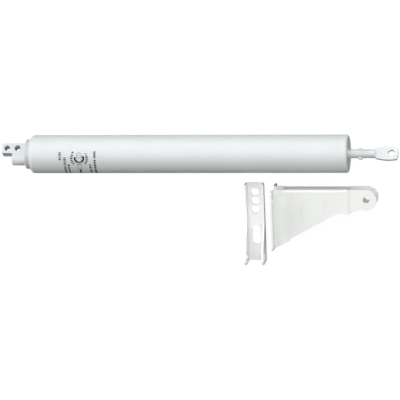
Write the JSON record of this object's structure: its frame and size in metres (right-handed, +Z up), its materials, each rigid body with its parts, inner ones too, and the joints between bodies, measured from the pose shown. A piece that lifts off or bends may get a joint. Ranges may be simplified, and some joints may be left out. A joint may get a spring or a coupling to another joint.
{
  "type": "door closer",
  "caption": "Pneumatic screen-door closer kit: sprung cylinder with a sliding rod, channel jamb bracket and folded triangular door bracket.",
  "frame": {"origin": "under the middle of the laid-out kit, on the surface it lies on", "axes": "+X along the cylinder towards the rod's eye, +Y from the brackets towards the cylinder, +Z up"},
  "size_m": [0.4, 0.1332, 0.043],
  "materials": {
    "tube_paint": "satin white enamel",
    "plug_paint": "satin white enamel on die-cast zinc",
    "rod_paint": "satin white enamel",
    "jamb_paint": "satin white enamel",
    "door_paint": "satin warm white enamel",
    "zinc_steel": "zinc plated",
    "spring_steel": "oiled spring wire",
    "black_rubber": "matt",
    "nylon": "natural nylon",
    "felt": "oiled felt"
  },
  "bodies": {
    "closer": {"cylinder_tube": "tube_paint", "end_plug": "plug_paint", "plug_seal_ring": "black_rubber", "front_cap": "tube_paint", "rod_bush": "nylon", "rod_wiper": "felt", "front_spring_seat": "zinc_steel", "return_spring": "spring_steel"},
    "speed_valve": {"speed_screw": "zinc_steel", "speed_screw_seal": "black_rubber"},
    "rod": {"piston_rod": "rod_paint", "piston_nut": "zinc_steel", "piston_lock_washer": "spring_steel", "piston_backing_washer": "zinc_steel", "piston_cup_seal": "black_rubber", "piston_head": "nylon", "rear_spring_seat": "zinc_steel", "piston_stop_washer": "zinc_steel"},
    "jamb_bracket": {"jamb_bracket": "jamb_paint"},
    "door_bracket": {"door_bracket": "door_paint"}
  },
  "joints": [
    {"name": "rod_slide", "type": "slide", "parent": "closer", "child": "rod", "axis": [1, 0, 0], "range_m": [0, 0.165], "stiffness_N_per_m": 400, "springref_m": -0.125, "deforming": ["return_spring"]},
    {"name": "speed_screw_turn", "type": "hinge", "parent": "closer", "child": "speed_valve", "pos_m": [-0.18, 0.04243, 0.02233], "axis": [1, 0, 0], "range_deg": [-360, 360]},
    {"name": "jamb_bracket_swing", "type": "hinge", "parent": "closer", "child": "jamb_bracket", "pos_m": [0.0521, -0.05872, 0.0185], "axis": [1, 0, 0], "range_deg": [0, 90]},
    {"name": "door_bracket_swing", "type": "hinge", "parent": "closer", "child": "door_bracket", "pos_m": [0.1677, 0.00258, 0.0215], "axis": [0, 0, 1], "range_deg": [0, 90]}
  ]
}
